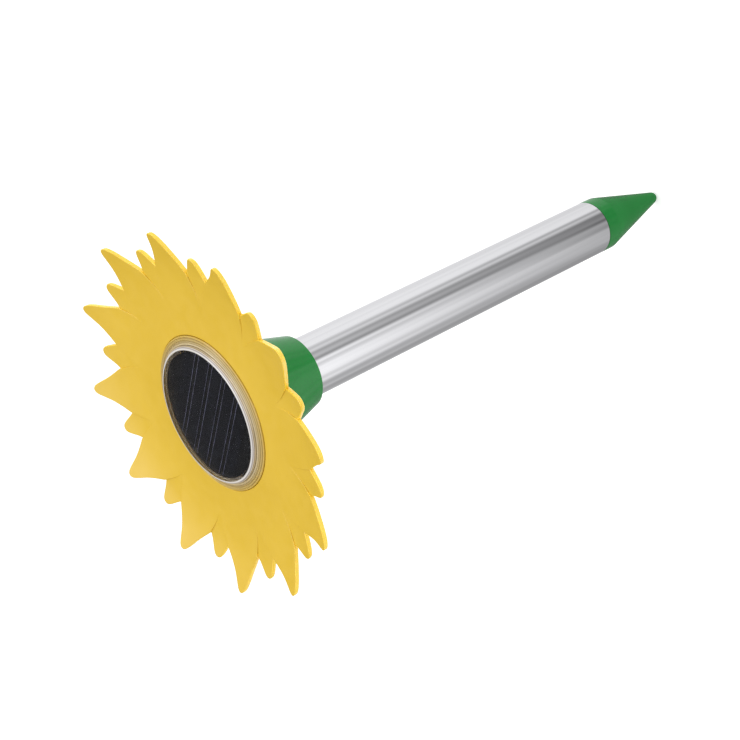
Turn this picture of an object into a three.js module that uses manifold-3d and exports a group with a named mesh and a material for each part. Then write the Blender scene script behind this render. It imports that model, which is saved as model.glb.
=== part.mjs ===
// A solar ground-stake pest repeller with a sunflower head.
// Units are millimetres, +Z is up, and the origin is the tip of the spike, on the axis of the tube.
// The flower faces up: its solar panel charges one cell, and the sounder in the tube beats every half minute.
import * as THREE from "three";
import { mergeVertices } from "three/addons/utils/BufferGeometryUtils.js";
import Module from "manifold-3d";

const wasm = await Module();
wasm.setup();

// ---- Driving dimensions ----

const GAP = 0.3; // clearance between pieces that touch on the real object
const ROUND = 36; // sides of a large round piece
const SMALL_ROUND = 16; // sides of a small round piece

const TUBE_R = 16;
const TUBE_WALL = 1;
const TUBE_BORE_R = TUBE_R - TUBE_WALL;
const TUBE_BOTTOM = 61;
const TUBE_LENGTH = 268;
const TUBE_TOP = TUBE_BOTTOM + TUBE_LENGTH;

const FACE_Z = 343.5; // the flower's front face, where the lens sits
const PETAL_TIP_R = 97.2;
const SHORT_TIP_R = 87.8;
const NOTCH_R = 77.5; // where the edges of a long and a short petal meet
const MEET_R = 61; // where two long petals meet over the root of a short one
const PETAL_PAIRS = 12;
const PAIR_ANGLE = 360 / PETAL_PAIRS;
const LONG_HALF_ANGLE = 9.4; // degrees from a long petal's middle to its notch
const DISH_START_R = 42;
const DISH_RISE = 9.5; // how far the long tips stand in front of the face
const SHEET = 2.4; // thickness of the moulded petals
const LAYER_STEP = 1.2; // how far the short petals lie behind the long ones

const WELL_R = 36.7;
const WELL_WALL_R = 38.9;
const WELL_FLOOR_TOP = 338.6;
const WELL_FLOOR_BOTTOM = 336.4;
const LENS_R = 41.4;
const PANEL_R = 35.2;

const CUP_BOTTOM = 287.5;
const CUP_TOP = WELL_FLOOR_BOTTOM - GAP;
const CUP_BOTTOM_R = 19.7;
const CUP_FLARE = 0.275; // growth of the cup's radius for each millimetre up
const CUP_WALL = 2.1;
const SLEEVE_BORE_R = TUBE_R + GAP;
const SLEEVE_R = 18.3;
const LIP_BOTTOM = TUBE_TOP + GAP;
const LIP_TOP = 331.4;
const LIP_BORE_R = 14.5;

const CARRIER_R = 14.1;
const CARRIER_WALL = 1.5;
const CARRIER_BOTTOM = 206;
const FLANGE_BOTTOM = LIP_TOP + GAP;
const FLANGE_TOP = FLANGE_BOTTOM + 1.5;

// ---- Helpers ----

const degrees = (angle) => (angle * Math.PI) / 180;
const cupRadius = (z) => CUP_BOTTOM_R + CUP_FLARE * (z - CUP_BOTTOM);

// A solid of revolution about Z from [radius, height] points that run bottom, outside, top.
function turned(profile, sides = ROUND) {
  const points = profile.map(([r, z]) => new THREE.Vector2(r, z));
  return new THREE.LatheGeometry(points, sides).rotateX(Math.PI / 2);
}

// A ring about Z with a rectangular section.
function ring(innerR, outerR, bottom, top, sides = ROUND) {
  const section = [[innerR, bottom], [outerR, bottom], [outerR, top], [innerR, top], [innerR, bottom]];
  return turned(section, sides);
}

// An upright round bar.
function bar(radius, bottom, top, sides = SMALL_ROUND) {
  return turned([[0, bottom], [radius, bottom], [radius, top], [0, top]], sides);
}

// A block given by its two opposite corners.
function block(low, high) {
  const size = high.map((value, i) => value - low[i]);
  const middle = high.map((value, i) => (value + low[i]) / 2);
  return new THREE.BoxGeometry(...size).translate(...middle);
}

// An O-ring about Z.
function oRing(radius, section, z) {
  return new THREE.TorusGeometry(radius, section, 5, 28).translate(0, 0, z);
}

// A round wire along a smooth curve through the given points.
function wire(points, radius, steps = 14, sides = 6) {
  const outline = new THREE.Shape();
  for (let i = 0; i < sides; i += 1) {
    const angle = (2 * Math.PI * i) / sides;
    const method = i === 0 ? "moveTo" : "lineTo";
    outline[method](radius * Math.cos(angle), radius * Math.sin(angle));
  }
  const path = new THREE.CatmullRomCurve3(points.map((p) => new THREE.Vector3(...p)));
  return new THREE.ExtrudeGeometry(outline, { steps, extrudePath: path });
}

function solidOf(geometry) {
  const bare = new THREE.BufferGeometry();
  bare.setAttribute("position", geometry.getAttribute("position"));
  bare.setIndex(geometry.getIndex());
  const merged = mergeVertices(bare, 1e-4);
  const mesh = new wasm.Mesh({
    numProp: 3,
    vertProperties: merged.attributes.position.array,
    triVerts: new Uint32Array(merged.index.array),
  });
  return new wasm.Manifold(mesh);
}

function geometryOf(solid) {
  const mesh = solid.getMesh();
  const geometry = new THREE.BufferGeometry();
  geometry.setAttribute("position", new THREE.BufferAttribute(mesh.vertProperties, 3));
  geometry.setIndex(new THREE.BufferAttribute(mesh.triVerts, 1));
  return geometry;
}

// Joins the added shapes to the first and then cuts the others away.
function carved(first, added, cut) {
  let solid = solidOf(first);
  for (const shape of added) solid = solid.add(solidOf(shape));
  for (const shape of cut) solid = solid.subtract(solidOf(shape));
  return geometryOf(solid);
}

function common(first, second) {
  return geometryOf(solidOf(first).intersect(solidOf(second)));
}

// Copies of a shape turned about Z, one for each angle in degrees.
const turnedCopies = (shape, angles) => angles.map((angle) => shape.clone().rotateZ(degrees(angle)));

// ---- Materials ----

const material = (color, roughness, metalness = 0) =>
  new THREE.MeshStandardMaterial({ color, roughness, metalness });

const yellowPlastic = material(0xe6bd28, 0.4);
const greenPlastic = material(0x1f8a35, 0.25);
const brightAluminium = material(0xc9ccd0, 0.3, 1);
const clearPlastic = new THREE.MeshStandardMaterial({
  color: 0xdfe6ea,
  roughness: 0.05,
  transparent: true,
  opacity: 0.3,
});
const panelBlack = material(0x16171a, 0.3);
const cellBlue = material(0x1a1c28, 0.2);
const blackRubber = material(0x151515, 0.8);
const clearSilicone = material(0xd8d6cc, 0.35);
const foam = material(0x2a2a2a, 0.95);
const whitePlastic = material(0xe4e2da, 0.5);
const blackPlastic = material(0x1a1a1b, 0.45);
const screwSteel = material(0xb9bcc0, 0.3, 1);
const boardGreen = material(0x1c5a33, 0.4);
const sleeveGreen = material(0x3c8f5a, 0.35);
const copper = material(0xb06a3a, 0.35, 1);
const redWire = material(0xb01c1c, 0.45);
const blackWire = material(0x141414, 0.45);

const repeller = new THREE.Group();

function place(name, geometry, look) {
  const mesh = new THREE.Mesh(geometry, look);
  mesh.name = name;
  repeller.add(mesh);
  return mesh;
}

// ---- Spike: a hollow moulded cone with a plug that pushes into the tube ----

const SPIKE_TIP_R = 3.6;
const SHOULDER_BOTTOM = 51.8;
const PLUG_R = 14.6;
const PLUG_TOP = 86;
const PLUG_BORE_R = 11.4;
const SEAL_GROOVE_R = 12.75;
const SEAL_Z = 75;
const SEAL_SECTION = 0.9;
const GROOVE_HALF = 1.2;

function spikeShape() {
  const toShoulder = Math.hypot(TUBE_R, SHOULDER_BOTTOM - SPIKE_TIP_R);
  const bearing = Math.atan2(SHOULDER_BOTTOM - SPIKE_TIP_R, TUBE_R);
  const tangent = bearing - Math.acos(SPIKE_TIP_R / toShoulder);
  const tip = [];
  const tipSteps = 4;
  for (let i = 0; i <= tipSteps; i += 1) {
    const angle = -Math.PI / 2 + ((tangent + Math.PI / 2) * i) / tipSteps;
    const radius = i === 0 ? 0 : SPIKE_TIP_R * Math.cos(angle);
    tip.push([radius, SPIKE_TIP_R + SPIKE_TIP_R * Math.sin(angle)]);
  }
  return turned([
    ...tip,
    [TUBE_R - 0.4, SHOULDER_BOTTOM - 0.9],
    [TUBE_R, SHOULDER_BOTTOM + 0.6],
    [TUBE_R, TUBE_BOTTOM - GAP],
    [PLUG_R, TUBE_BOTTOM - GAP],
    [PLUG_R, SEAL_Z - GROOVE_HALF],
    [SEAL_GROOVE_R, SEAL_Z - GROOVE_HALF],
    [SEAL_GROOVE_R, SEAL_Z + GROOVE_HALF],
    [PLUG_R, SEAL_Z + GROOVE_HALF],
    [PLUG_R, PLUG_TOP - 2],
    [PLUG_R - 1, PLUG_TOP],
    [PLUG_BORE_R, PLUG_TOP],
    [PLUG_BORE_R, SHOULDER_BOTTOM + 2],
    [2.4, 16],
    [0, 15],
  ]);
}

place("spike", spikeShape(), greenPlastic);
place("spike_oring", oRing(13.95, SEAL_SECTION, SEAL_Z), blackRubber);

// ---- Tube: plain drawn aluminium, open at both ends ----

place("tube", ring(TUBE_BORE_R, TUBE_R, TUBE_BOTTOM, TUBE_TOP, 48), brightAluminium);

// ---- Petal disc: one dished moulding, twelve long petals over twelve short ones ----

const dish = (r) => {
  const share = Math.max(0, r - DISH_START_R) / (PETAL_TIP_R - DISH_START_R);
  return FACE_Z + DISH_RISE * share ** 2.9;
};

// Half outlines of the two petals outside the notch: [distance from the axis, half width].
const LONG_OUTLINE = [[76.5, 12.66], [81.5, 9.9], [87.5, 6.6], [93, 4.1], [96.1, 2.2], [PETAL_TIP_R, 0]];
const SHORT_OUTLINE = [[77.2, 7.56], [82, 5.1], [85.6, 2.9], [87.3, 1.4], [SHORT_TIP_R, 0]];

// Inside the notch the long petals widen until they meet, and cover the roots of the short ones.
const longHalfAngle = (r) =>
  THREE.MathUtils.mapLinear(
    THREE.MathUtils.clamp(r, MEET_R, NOTCH_R),
    MEET_R,
    NOTCH_R,
    PAIR_ANGLE / 2 - 0.5,
    LONG_HALF_ANGLE,
  );

// The columns of one petal, from one notch to the next.
function petalColumns(outline, middle, step, halfAngle) {
  const seam = 0.12; // half the angle of the step between two petals
  const toColumn = ([x, halfWidth], side) => {
    const share = (side * Math.atan2(halfWidth, x)) / Math.atan2(outline[0][1], outline[0][0]);
    const angleAt = (r) => degrees(middle + share * (halfAngle(r) - seam));
    return { outerR: Math.hypot(x, halfWidth), angleAt, step };
  };
  const rising = outline.map((point) => toColumn(point, -1));
  const falling = outline.slice(0, -1).map((point) => toColumn(point, 1));
  return [...rising, ...falling.reverse()];
}

function petalPlate(innerR) {
  const columns = [];
  for (let pair = 0; pair < PETAL_PAIRS; pair += 1) {
    const middle = pair * PAIR_ANGLE;
    const shortHalfAngle = (r) => PAIR_ANGLE / 2 - longHalfAngle(r);
    columns.push(...petalColumns(LONG_OUTLINE, middle, 0, longHalfAngle));
    columns.push(...petalColumns(SHORT_OUTLINE, middle + PAIR_ANGLE / 2, LAYER_STEP, shortHalfAngle));
  }
  const rows = [
    () => innerR,
    () => MEET_R - 2,
    () => MEET_R + 6,
    () => NOTCH_R - 2.5,
    (outerR) => outerR,
  ];
  const positions = [];
  for (const side of [0, SHEET]) {
    for (const row of rows) {
      for (const column of columns) {
        const r = row(column.outerR);
        const fade = THREE.MathUtils.smoothstep(r, MEET_R - 2, MEET_R + 6);
        const angle = column.angleAt(r);
        positions.push(r * Math.cos(angle), r * Math.sin(angle), dish(r) - column.step * fade - side);
      }
    }
  }
  const count = columns.length;
  const at = (side, row, column) => (side * rows.length + row) * count + (column % count);
  const faces = [];
  const quad = (a, b, c, d) => faces.push(a, b, c, a, c, d);
  const last = rows.length - 1;
  for (let j = 0; j < count; j += 1) {
    for (let i = 0; i < last; i += 1) {
      quad(at(0, i, j), at(0, i + 1, j), at(0, i + 1, j + 1), at(0, i, j + 1));
      quad(at(1, i, j), at(1, i, j + 1), at(1, i + 1, j + 1), at(1, i + 1, j));
    }
    quad(at(0, last, j), at(1, last, j), at(1, last, j + 1), at(0, last, j + 1));
    quad(at(0, 0, j), at(0, 0, j + 1), at(1, 0, j + 1), at(1, 0, j));
  }
  const geometry = new THREE.BufferGeometry();
  geometry.setAttribute("position", new THREE.Float32BufferAttribute(positions, 3));
  geometry.setIndex(faces);
  return geometry;
}

const HUB_R = DISH_START_R + 1.2;
const WIRE_HOLE_R = 5;
const REBATE_FLOOR = FACE_Z - 1.1;
const HEAD_SCREW_R = 25.5; // circle that the head screws stand on
const HEAD_SCREW_ANGLES = [45, 135, 225, 315];
const SHANK_R = 1.3;
const SCREW_HOLE_R = 1.7;

function petalDiscShape() {
  const hub = turned([
    [WIRE_HOLE_R, WELL_FLOOR_BOTTOM],
    [WELL_WALL_R, WELL_FLOOR_BOTTOM],
    [WELL_WALL_R, FACE_Z - SHEET],
    [HUB_R, FACE_Z - SHEET],
    [HUB_R, FACE_Z],
    [LENS_R + GAP, FACE_Z],
    [LENS_R + GAP, REBATE_FLOOR],
    [WELL_R, REBATE_FLOOR],
    [WELL_R, WELL_FLOOR_TOP],
    [WIRE_HOLE_R, WELL_FLOOR_TOP],
    [WIRE_HOLE_R, WELL_FLOOR_BOTTOM],
  ]);
  const hole = bar(SCREW_HOLE_R, WELL_FLOOR_BOTTOM - 1, WELL_FLOOR_TOP + 1, 16);
  const holes = turnedCopies(hole.translate(HEAD_SCREW_R, 0, 0), HEAD_SCREW_ANGLES);
  return carved(hub, [petalPlate(DISH_START_R + 0.4)], holes);
}

place("petal_disc", petalDiscShape(), yellowPlastic);

// ---- Lens: a clear stepped cover over the solar panel, on a thin seal ----

const LENS_BOTTOM = REBATE_FLOOR + 0.3;
const LENS_TOP = FACE_Z + 3.9;

function lensShape() {
  return turned([
    [0, LENS_TOP - 1.8],
    [20, LENS_TOP - 2],
    [33.4, LENS_TOP - 2.6],
    [35.4, FACE_Z + 0.2],
    [35.6, LENS_BOTTOM],
    [LENS_R, LENS_BOTTOM],
    [LENS_R, FACE_Z + 0.4],
    [40.1, FACE_Z + 0.7],
    [39.9, FACE_Z + 1.1],
    [38.6, FACE_Z + 1.35],
    [38.2, FACE_Z + 1.9],
    [37, FACE_Z + 2.7],
    [35, FACE_Z + 3.2],
    [20, LENS_TOP - 0.2],
    [0, LENS_TOP],
  ]);
}

place("lens", lensShape(), clearPlastic);
place("lens_seal", ring(37.2, 41.3, REBATE_FLOOR + 0.05, LENS_BOTTOM - 0.05), clearSilicone);

// ---- Solar panel: a round board with five cell strips, on a foam ring in the well ----

const BOARD_BOTTOM = 342;
const BOARD_TOP = 343.2;
const CELLS = 5;
const CELL_PITCH = 10.4;
const CELL_WIDTH = 7.9;
const CELL_FIELD_R = 33.5;
const CELL_TURN = -63.6; // degrees from X to the strips

place("panel_pad", ring(30, 35, WELL_FLOOR_TOP + 0.1, BOARD_BOTTOM - 0.1), foam);
place("panel_board", bar(PANEL_R, BOARD_BOTTOM, BOARD_TOP, ROUND), panelBlack);

for (let i = 0; i < CELLS; i += 1) {
  const middle = (i - (CELLS - 1) / 2) * CELL_PITCH;
  const low = [-PANEL_R, middle - CELL_WIDTH / 2, BOARD_TOP + 0.05];
  const high = [PANEL_R, middle + CELL_WIDTH / 2, BOARD_TOP + 0.35];
  const field = bar(CELL_FIELD_R, BOARD_TOP, BOARD_TOP + 1, ROUND);
  const strip = common(field, block(low, high)).rotateZ(degrees(CELL_TURN));
  place(`solar_cell_${i + 1}`, strip, cellBlue);
}

// ---- Rear cup: the green collar that joins the flower to the tube ----

const CUP_SEAL_Z = 293;
const LUG_ANGLES = [0, 180];
const LUG_R = 20.6; // circle that the carrier's two screws stand on
const SWITCH_Z = 324;
const SWITCH_FACE_Y = cupRadius(SWITCH_Z) + 2.2;
const BUTTON_R = 4.2;

// A round bar along Y.
const crossBar = (radius, fromY, toY, z, sides = 20) =>
  new THREE.CylinderGeometry(radius, radius, toY - fromY, sides).translate(0, (fromY + toY) / 2, z);

function rearCupShape() {
  const pocketFloor = 296;
  const shell = turned([
    [SLEEVE_BORE_R, CUP_BOTTOM],
    [CUP_BOTTOM_R - 0.5, CUP_BOTTOM],
    [CUP_BOTTOM_R, CUP_BOTTOM + 0.5],
    [cupRadius(CUP_TOP), CUP_TOP],
    [cupRadius(CUP_TOP) - CUP_WALL, CUP_TOP],
    [cupRadius(pocketFloor) - CUP_WALL, pocketFloor],
    [SLEEVE_R, pocketFloor],
    [SLEEVE_R, LIP_TOP],
    [LIP_BORE_R, LIP_TOP],
    [LIP_BORE_R, LIP_BOTTOM],
    [SLEEVE_BORE_R, LIP_BOTTOM],
    [SLEEVE_BORE_R, CUP_SEAL_Z + GROOVE_HALF],
    [17.5, CUP_SEAL_Z + GROOVE_HALF],
    [17.5, CUP_SEAL_Z - GROOVE_HALF],
    [SLEEVE_BORE_R, CUP_SEAL_Z - GROOVE_HALF],
    [SLEEVE_BORE_R, CUP_BOTTOM],
  ]);
  const post = bar(3.1, 322, CUP_TOP, 16).translate(HEAD_SCREW_R, 0, 0);
  const pilot = bar(SCREW_HOLE_R, 326, CUP_TOP + 1, 16).translate(HEAD_SCREW_R, 0, 0);
  const lug = bar(2.7, 318, LIP_TOP, 16).translate(LUG_R, 0, 0);
  const lugPilot = bar(1.4, 322, LIP_TOP + 1, 16).translate(LUG_R, 0, 0);
  const pad = crossBar(6.6, SWITCH_FACE_Y - 4.5, SWITCH_FACE_Y, SWITCH_Z);
  const buttonHole = crossBar(BUTTON_R + GAP, 22.5, SWITCH_FACE_Y + 1, SWITCH_Z);
  return carved(
    shell,
    [...turnedCopies(post, HEAD_SCREW_ANGLES), ...turnedCopies(lug, LUG_ANGLES), pad],
    [...turnedCopies(pilot, HEAD_SCREW_ANGLES), ...turnedCopies(lugPilot, LUG_ANGLES), buttonHole],
  );
}

place("rear_cup", rearCupShape(), greenPlastic);
place("cup_oring", oRing(16.85, 0.55, CUP_SEAL_Z), blackRubber);

// Pan-head screws with a cross recess, standing with the head's underside at seatZ.
function screwShape(shankR, headR, headHeight, length, seatZ) {
  const screw = turned(
    [
      [0, seatZ - length],
      [shankR, seatZ - length + 1.5],
      [shankR, seatZ],
      [headR, seatZ],
      [headR, seatZ + headHeight * 0.5],
      [headR * 0.7, seatZ + headHeight],
      [0, seatZ + headHeight],
    ],
    16,
  );
  const top = seatZ + headHeight;
  const slot = [headR * 0.55, headR * 0.13];
  const recesses = [
    block([-slot[0], -slot[1], top - 0.6], [slot[0], slot[1], top + 1]),
    block([-slot[1], -slot[0], top - 0.6], [slot[1], slot[0], top + 1]),
  ];
  return carved(screw, [], recesses);
}

HEAD_SCREW_ANGLES.forEach((angle, i) => {
  const screw = screwShape(SHANK_R, 2.8, 1.6, 9, WELL_FLOOR_TOP + 0.05);
  place(`head_screw_${i + 1}`, screw.translate(HEAD_SCREW_R, 0, 0).rotateZ(degrees(angle)), screwSteel);
});

// ---- Power switch: a push button under a rubber cap, on the side of the rear cup ----

function buttonShape() {
  const cap = crossBar(BUTTON_R, 25.3, SWITCH_FACE_Y + 1.6, SWITCH_Z);
  const flange = crossBar(5, 24.9, 25.8, SWITCH_Z);
  const stem = crossBar(1.4, 24.6, 25.2, SWITCH_Z, 12);
  return carved(cap, [flange, stem], []);
}

const SWITCH_BODY = { inner: 19.6, outer: 23.2, halfWidth: 4, halfHeight: 4.5 };

place("switch_button", buttonShape(), blackRubber);
place(
  "switch_body",
  block(
    [-SWITCH_BODY.halfWidth, SWITCH_BODY.inner, SWITCH_Z - SWITCH_BODY.halfHeight],
    [SWITCH_BODY.halfWidth, SWITCH_BODY.outer, SWITCH_Z + SWITCH_BODY.halfHeight],
  ),
  blackPlastic,
);

// ---- Carrier: the white frame that hangs from the cup into the tube ----

const OPEN_CUT_Y = 3.5; // the frame is open on +Y from here
const CELL_R = 7.15; // the AA rechargeable cell
const CELL_BOTTOM = 219;
const CELL_LENGTH = 48.5;
const CELL_TOP = CELL_BOTTOM + CELL_LENGTH;
const BAY_BOTTOM = 212;
const BAY_TOP = 271.5;
const PCB = { low: [-10.5, -3.2, 276], high: [10.5, -1.6, 324] };

function carrierShape() {
  const inner = CARRIER_R - CARRIER_WALL;
  const skirt = ring(inner, CARRIER_R, CARRIER_BOTTOM, FLANGE_BOTTOM + 0.5);
  const flange = ring(9, SLEEVE_R - 0.2, FLANGE_BOTTOM, FLANGE_TOP);
  const ear = bar(3, FLANGE_BOTTOM, FLANGE_TOP, 16).translate(LUG_R, 0, 0);
  const earHole = bar(1.5, FLANGE_BOTTOM - 1, FLANGE_TOP + 1, 16).translate(LUG_R, 0, 0);
  const wall = (bottom, top) => bar(inner + 0.4, bottom, top, ROUND);
  const side = inner * 2;
  const window = block([-side, OPEN_CUT_Y, CARRIER_BOTTOM + 12], [side, side, FLANGE_BOTTOM - 3]);
  const wireSlot = block([-2.5, -inner - 0.2, 200], [2.5, -8.4, 330]);
  const rail = (x) => block([x - 1.2, -5, PCB.low[2]], [x + 1.2, 0.4, PCB.high[2]]);
  const boardSlot = block(
    [PCB.low[0] - GAP, PCB.low[1] - GAP, PCB.low[2] - 0.5],
    [PCB.high[0] + GAP, PCB.high[1] + GAP, FLANGE_BOTTOM - 3],
  );
  const frame = carved(
    skirt,
    [flange, wall(BAY_BOTTOM, BAY_BOTTOM + 1.6), wall(BAY_TOP, BAY_TOP + 1.6), rail(-11), rail(11)],
    [window, wireSlot, boardSlot],
  );
  return carved(frame, turnedCopies(ear, LUG_ANGLES), turnedCopies(earHole, LUG_ANGLES));
}

place("carrier", carrierShape(), whitePlastic);

LUG_ANGLES.forEach((angle, i) => {
  const screw = screwShape(1.05, 2.2, 1.1, 8, FLANGE_TOP + 0.05);
  place(`carrier_screw_${i + 1}`, screw.translate(LUG_R, 0, 0).rotateZ(degrees(angle)), screwSteel);
});

// ---- Battery: one AA cell between a coil spring and a plate ----

place(
  "battery_cell",
  turned(
    [
      [0, CELL_BOTTOM],
      [CELL_R - 0.4, CELL_BOTTOM],
      [CELL_R, CELL_BOTTOM + 0.4],
      [CELL_R, CELL_TOP - 0.5],
      [CELL_R - 0.5, CELL_TOP],
      [0, CELL_TOP],
    ],
    32,
  ),
  sleeveGreen,
);
place("battery_cap", bar(2.7, CELL_TOP + 0.05, CELL_TOP + 1.4), screwSteel);
place("battery_contact", block([-4, -4, CELL_TOP + 1.6], [4, 4, CELL_TOP + 2.1]), screwSteel);

function springShape() {
  const turns = 3;
  const perTurn = 10;
  const bottom = BAY_BOTTOM + 2.2;
  const height = CELL_BOTTOM - bottom - 0.7;
  const points = [];
  for (let i = 0; i <= turns * perTurn; i += 1) {
    const share = i / (turns * perTurn);
    const angle = 2 * Math.PI * turns * share;
    const radius = 5 - 1.6 * share;
    points.push([radius * Math.cos(angle), radius * Math.sin(angle), bottom + height * share]);
  }
  return wire(points, 0.35, turns * perTurn, 5);
}

place("battery_spring", springShape(), screwSteel);

// ---- Circuit board and its larger components, all on its +Y side ----

place("circuit_board", block(PCB.low, PCB.high), boardGreen);
const BOARD_FACE = PCB.high[1] + 0.05;
place("timer_chip", block([-3, BOARD_FACE, 299], [3, BOARD_FACE + 1.6, 304]), blackPlastic);

// A round component that stands out of the board along +Y.
const standing = (radius, height, x, z) =>
  bar(radius, 0, height).rotateX(-Math.PI / 2).translate(x, BOARD_FACE, z);

place("capacitor", standing(3.1, 8, -4.5, 313), blackPlastic);
place("inductor", standing(2.6, 5, 4.6, 311), copper);
place("transistor", block([2.4, BOARD_FACE, 287], [6.8, BOARD_FACE + 3.4, 291.5]), blackPlastic);

// ---- Sounder: an electromagnetic buzzer with a steel diaphragm, at the frame's lower end ----

const SOUNDER_TOP = CARRIER_BOTTOM - GAP;
const SOUNDER_BOTTOM = 190;
const SOUNDER_R = 13.9;
const DIAPHRAGM_Z = 194;

place(
  "sounder_case",
  turned([
    [0, SOUNDER_TOP - 1.8],
    [12.6, SOUNDER_TOP - 1.8],
    [12.6, DIAPHRAGM_Z + 1.6],
    [SOUNDER_R, DIAPHRAGM_Z + 1.6],
    [SOUNDER_R, SOUNDER_TOP],
    [0, SOUNDER_TOP],
  ]),
  blackPlastic,
);
place("sounder_magnet", ring(8.2, 11.8, DIAPHRAGM_Z + 4.5, SOUNDER_TOP - 2.1), foam);
place("sounder_core", bar(2.5, DIAPHRAGM_Z + 2.2, SOUNDER_TOP - 2.1), screwSteel);
place("sounder_coil", ring(3, 7.4, DIAPHRAGM_Z + 3.6, SOUNDER_TOP - 2.4, 32), copper);
place("diaphragm", bar(12.4, DIAPHRAGM_Z, DIAPHRAGM_Z + 0.4, ROUND), screwSteel);

function sounderCoverShape() {
  const skirtTop = DIAPHRAGM_Z + 1.3;
  const cover = turned([
    [0, SOUNDER_BOTTOM],
    [SOUNDER_R - 0.6, SOUNDER_BOTTOM],
    [SOUNDER_R, SOUNDER_BOTTOM + 0.6],
    [SOUNDER_R, skirtTop],
    [12.8, skirtTop],
    [12.8, SOUNDER_BOTTOM + 1.6],
    [0, SOUNDER_BOTTOM + 1.6],
  ]);
  const hole = bar(1.5, SOUNDER_BOTTOM - 1, SOUNDER_BOTTOM + 3, 8);
  const outerHoles = turnedCopies(hole.clone().translate(7, 0, 0), [0, 60, 120, 180, 240, 300]);
  return carved(cover, [], [hole, ...outerHoles]);
}

place("sounder_cover", sounderCoverShape(), blackPlastic);

// ---- Leads: panel to board, switch to board, and board to sounder ----

const LEAD_R = 0.55;
const leadLooks = [["red", redWire, 1], ["black", blackWire, -1]];

for (const [colour, look, side] of leadLooks) {
  place(
    `panel_lead_${colour}`,
    wire(
      [
        [side * 2.5, 0, BOARD_BOTTOM - 0.9],
        [side * 2.6, 0.4, 337],
        [side * 3, 2, 331],
        [side * 4.5, 2.6, 326],
        [side * 7.5, 0.6, 321.5],
        [side * 8, -0.7, 318.5],
      ],
      LEAD_R,
    ),
    look,
  );
  place(
    `sounder_lead_${colour}`,
    wire(
      [
        [side * 1.1, -4.2, 279],
        [side * 1.1, -7, 277],
        [side * 1.1, -10.3, 273],
        [side * 1.1, -10.6, 262],
        [side * 1.1, -10.6, 225],
        [side * 1.1, -10.4, 212],
        [side * 1.1, -9.6, SOUNDER_TOP + 0.4],
      ],
      LEAD_R,
    ),
    look,
  );
  place(
    `switch_lead_${colour}`,
    wire(
      [
        [side * 2, 21.5, SWITCH_Z + 5.2],
        [side * 2, 21, 332],
        [side * 2, 18.4, 334.6],
        [side * 1.8, 12, 334.8],
        [side * 1.4, 7.4, 334.4],
        [side * 1.1, 5, 330],
        [side * 1, 1, 323],
        [side * 1, -1, 321],
      ],
      LEAD_R,
    ),
    look,
  );
}

export default repeller;
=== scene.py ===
import math

import bpy
from mathutils import Matrix, Vector


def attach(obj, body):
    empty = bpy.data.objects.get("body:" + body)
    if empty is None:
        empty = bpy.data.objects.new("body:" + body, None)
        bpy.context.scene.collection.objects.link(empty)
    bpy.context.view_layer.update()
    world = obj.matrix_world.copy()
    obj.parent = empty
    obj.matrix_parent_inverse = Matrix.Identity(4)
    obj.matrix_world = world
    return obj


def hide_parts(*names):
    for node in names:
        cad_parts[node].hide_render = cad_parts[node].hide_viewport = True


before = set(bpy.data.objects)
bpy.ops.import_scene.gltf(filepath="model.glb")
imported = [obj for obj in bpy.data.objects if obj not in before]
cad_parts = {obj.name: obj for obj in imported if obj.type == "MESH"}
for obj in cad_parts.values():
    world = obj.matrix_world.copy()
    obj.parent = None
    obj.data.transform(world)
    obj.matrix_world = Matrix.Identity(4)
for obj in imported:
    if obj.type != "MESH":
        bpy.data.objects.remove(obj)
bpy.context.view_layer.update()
MM = 0.001
scene = bpy.context.scene

# ---- Camera, floor and light ----
# The stake stands upright on the tip of its spike. The camera looks down on the flower from one side,
# rolled so that the tube runs up to the right.

camera = bpy.data.objects.new("camera", bpy.data.cameras.new("camera"))
scene.collection.objects.link(camera)
camera_right = Vector((-0.4919, -0.4625, -0.7376)).normalized()
camera_back = Vector((-0.0669, -0.8246, 0.5617)).normalized()
camera_up = camera_back.cross(camera_right).normalized()
camera_right = camera_up.cross(camera_back)
turn = Matrix((camera_right, camera_up, camera_back)).transposed().to_4x4()
camera.matrix_world = Matrix.Translation((-0.0704, -0.6696, 0.7046)) @ turn
camera.data.sensor_width = 36
camera.data.lens = 75.15
camera.data.clip_start = 0.01
scene.camera = camera
scene.view_settings.view_transform = "Standard"

world = bpy.data.worlds.new("studio")
scene.world = world
world.use_nodes = True
world.node_tree.nodes["Background"].inputs["Color"].default_value = (1.0, 1.0, 1.0, 1)
world.node_tree.nodes["Background"].inputs["Strength"].default_value = 0.5


def softbox(name, place, size, power):
    """A square of soft light that faces the middle of the stake."""
    light = bpy.data.lights.new(name, "AREA")
    light.size = size
    light.energy = power
    holder = bpy.data.objects.new(name, light)
    scene.collection.objects.link(holder)
    holder.location = place
    holder.rotation_euler = (Vector(place) - Vector((0, 0, 0.25))).to_track_quat("Z", "Y").to_euler()


softbox("overhead_softbox", (0.3, 0.2, 2.0), 1.8, 24)
softbox("side_softbox", (1.7, -0.5, 0.9), 1.2, 9)
softbox("front_softbox", (-1.0, -1.7, 1.1), 1.2, 8)


def shader(name, colour, roughness, metallic=0.0, coat=0.0):
    """A new material with one Principled shader. Returns the material, its tree and the shader."""
    material = bpy.data.materials.new(name)
    material.use_nodes = True
    tree = material.node_tree
    principled = tree.nodes["Principled BSDF"]
    principled.inputs["Base Color"].default_value = (*colour, 1)
    principled.inputs["Roughness"].default_value = roughness
    principled.inputs["Metallic"].default_value = metallic
    principled.inputs["Coat Weight"].default_value = coat
    return material, tree, principled


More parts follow.
